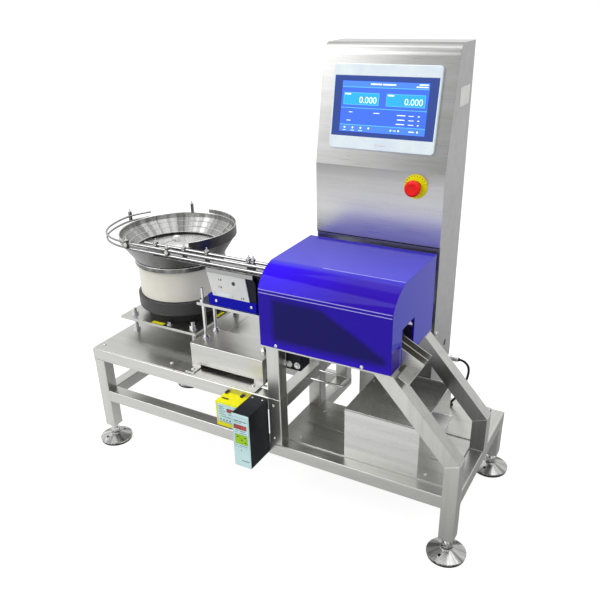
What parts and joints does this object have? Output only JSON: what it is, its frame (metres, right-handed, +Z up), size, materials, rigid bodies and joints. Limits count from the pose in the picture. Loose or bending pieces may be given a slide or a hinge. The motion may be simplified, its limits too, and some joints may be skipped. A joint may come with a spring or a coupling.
{
  "type": "checkweigher with a bowl feeder",
  "caption": "Machine that lines up small parts in a vibrating bowl, weighs them under a folded cover and lets them out by a chute, with an operator's screen on a column.",
  "frame": {"origin": "middle of the machine's plan, on the floor under the levelling feet", "axes": "+X along the machine towards the outlet, +Y to the column's back, +Z up"},
  "size_m": [1.2454, 0.572, 1.189],
  "materials": {
    "black_paint": "satin black",
    "black_plastic": "satin black",
    "black_rubber": "matt rubber",
    "blue_acrylic": "deep blue acrylic, polished",
    "blue_paint": "gloss blue",
    "cream_paint": "satin cream",
    "dark_grey_paint": "satin dark grey",
    "panel_plastic": "pale grey-blue",
    "polished_steel": "polished stainless",
    "red_plastic": "gloss red",
    "screen_glass": "dark blue display glass",
    "stainless_sheet": "fine brushing, folded edges",
    "stainless_tube": "fine lengthwise brushing",
    "white_paint": "satin white",
    "yellow_plastic": "satin yellow"
  },
  "bodies": {
    "machine": {"bowl_floor": "polished_steel", "bowl_neck": "polished_steel", "bowl_plate": "stainless_sheet", "bowl_plate_nuts": "polished_steel", "bowl_rail_loop": "polished_steel", "bowl_rim_wall": "polished_steel", "bowl_spacers": "polished_steel", "bowl_track": "polished_steel", "brace_front": "stainless_tube", "brace_rear": "stainless_tube", "cable": "black_rubber", "cable_gland": "polished_steel", "cable_grommet": "black_rubber", "chute_bracket": "stainless_sheet", "collection_bin": "stainless_sheet", "column_back_door": "stainless_sheet", "column_cabinet": "stainless_sheet", "column_pedestal": "stainless_sheet", "controller_black": "black_paint", "controller_panels": "panel_plastic", "controller_yellow": "yellow_plastic", "cover_base": "stainless_sheet", "cover_posts": "stainless_tube", "drive_base": "blue_paint", "drive_body": "black_paint", "drive_side_plates": "white_paint", "drive_top_bar": "stainless_sheet", "drum": "cream_paint", "drum_foot": "black_rubber", "drum_ring": "dark_grey_paint", "feeder_bowl": "polished_steel", "floor_bearer": "stainless_sheet", "floor_plates": "stainless_sheet", "foot_discs": "polished_steel", "foot_pads": "black_rubber", "foot_stems": "polished_steel", "frame_cross_rails": "stainless_tube", "frame_legs": "stainless_tube", "frame_long_rails": "stainless_tube", "frame_mid_posts": "stainless_tube", "linear_box": "stainless_sheet", "linear_box_feet": "stainless_sheet", "linear_plate": "stainless_sheet", "linear_post_nuts": "polished_steel", "linear_posts": "polished_steel", "outlet_chute": "stainless_sheet", "screen_bezel": "panel_plastic", "screen_glass": "screen_glass", "stop_collar": "black_plastic", "stop_ring": "yellow_plastic", "table_plate_left": "stainless_sheet", "table_plate_right": "stainless_sheet", "track_bed": "polished_steel", "track_clamps": "polished_steel", "track_rods": "polished_steel", "track_supports": "stainless_sheet", "weigh_cell": "black_paint", "weigh_cover": "blue_acrylic", "wire_ring": "polished_steel"},
    "stop_button": {"stop_head": "red_plastic"}
  },
  "joints": [
    {"name": "stop_press", "type": "slide", "parent": "machine", "child": "stop_button", "axis": [0, 1, 0], "range_m": [0, 0.004], "stiffness_N_per_m": 600}
  ]
}
